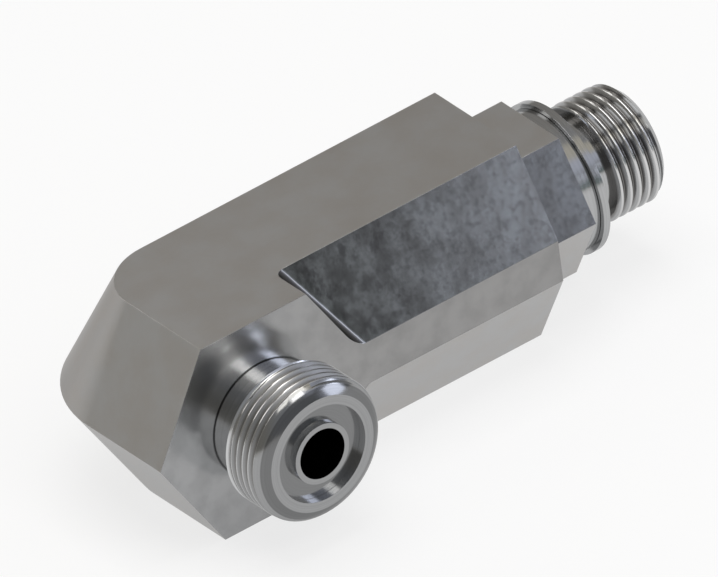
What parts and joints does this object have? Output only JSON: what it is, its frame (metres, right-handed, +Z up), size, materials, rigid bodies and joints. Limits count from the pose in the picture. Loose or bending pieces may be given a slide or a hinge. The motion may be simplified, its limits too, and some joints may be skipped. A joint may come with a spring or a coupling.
{
  "type": "elbow fitting",
  "caption": "Hexagonal steel 90 degree hydraulic elbow with a face seal port on its front and a long arm ending in an adjustable O-ring stud with locknut and backup washer.",
  "frame": {"origin": "where the axes of the two drilled passages cross, at mid height of the hexagonal limbs", "axes": "+X along the stud towards its tip, -Y along the face seal port towards its sealing face, +Z up, square to both axes"},
  "size_m": [0.0755, 0.0381, 0.0254],
  "materials": {
    "body_steel": "zinc plated forged steel, facets slightly mottled, faces beside the port machined bright",
    "nut_steel": "zinc plated steel, satin",
    "washer_steel": "zinc plated steel, satin"
  },
  "bodies": {
    "elbow": {"elbow_body": "body_steel"},
    "washer": {"backup_washer": "washer_steel"},
    "nut": {"locknut": "nut_steel"}
  },
  "joints": [
    {"name": "washer_slide", "type": "slide", "parent": "elbow", "child": "washer", "axis": [1, 0, 0], "range_m": [0, 0.00188]},
    {"name": "nut_turn", "type": "hinge", "parent": "washer", "child": "nut", "pos_m": [0.045, 0, 0], "axis": [1, 0, 0], "range_deg": [0, 540]}
  ],
  "couplings": [
    {"joint": "washer_slide", "follows": "nut_turn", "m_per_rad": 0.00019894}
  ]
}
